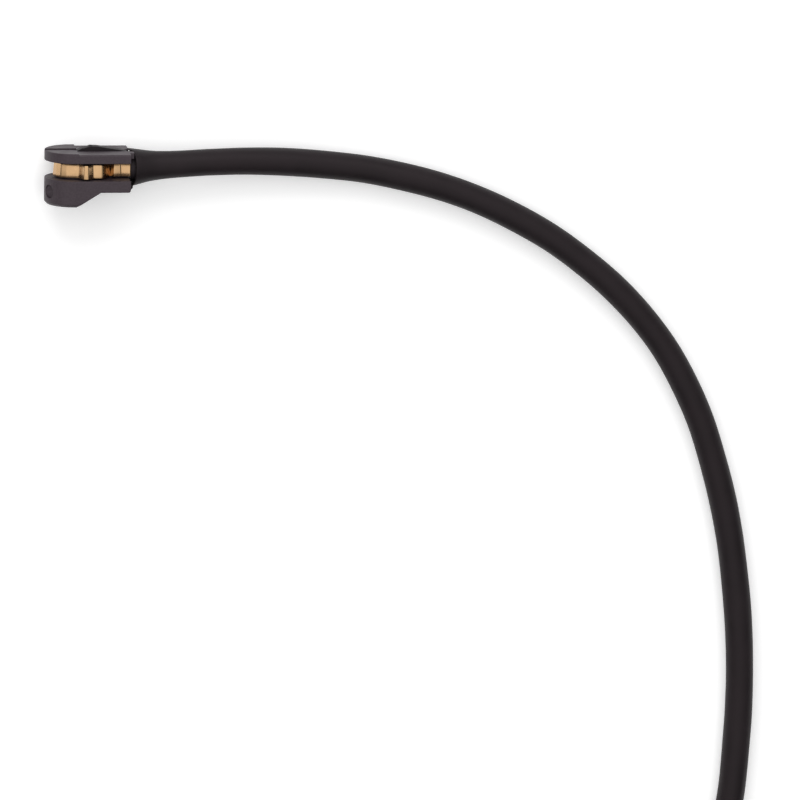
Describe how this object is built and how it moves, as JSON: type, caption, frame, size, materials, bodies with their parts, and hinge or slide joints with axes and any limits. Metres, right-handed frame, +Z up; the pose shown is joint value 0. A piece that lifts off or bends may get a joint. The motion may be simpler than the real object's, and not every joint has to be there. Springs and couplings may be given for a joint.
{
  "type": "brake pad wear sensor",
  "caption": "Clip-in wear sensor for a disc brake pad: slotted plastic head with a brass spring and wear nose, on a sleeved lead with a sealed plug.",
  "frame": {"origin": "middle of the lower flange's flat side face, on the floor that the sensor lies on", "axes": "+X from the nose along the head to the lead, +Y from the wear nose across the plate gap to the top flange, +Z up from the floor, across the head's width"},
  "size_m": [0.1449, 0.1754, 0.0137],
  "materials": {
    "moulded_head": "satin, finely mottled glass-filled moulding",
    "spring_brass": "satin rolled strip",
    "wire_insulation": "satin",
    "bare_copper": "drawn copper",
    "tinned_contact": "tin plated",
    "black_sleeve": "satin extruded sleeve",
    "plug_plastic": "satin moulding",
    "lock_plastic": "natural, unpigmented",
    "seal_rubber": "soft silicone",
    "boot_rubber": "matt"
  },
  "bodies": {
    "root": {"head_body": "moulded_head", "nose_pin": "moulded_head", "neck_seal": "black_sleeve", "slot_sealant": "wire_insulation", "spring_clip": "spring_brass", "lead_wire_1": "wire_insulation", "lead_wire_2": "wire_insulation", "wear_loop": "bare_copper", "loop_crimp_1": "tinned_contact", "loop_crimp_2": "tinned_contact", "end_boot": "black_sleeve", "cable_sleeve": "black_sleeve", "plug_skirt": "plug_plastic", "contact_carrier": "plug_plastic", "plug_housing": "plug_plastic", "plug_contact_1": "tinned_contact", "plug_contact_2": "tinned_contact", "contact_lock": "lock_plastic", "interface_seal": "seal_rubber", "wire_seal_1": "seal_rubber", "wire_seal_2": "seal_rubber", "plug_lead_1": "wire_insulation", "plug_lead_2": "wire_insulation", "rear_cap": "plug_plastic", "plug_boot": "boot_rubber"}
  },
  "joints": []
}
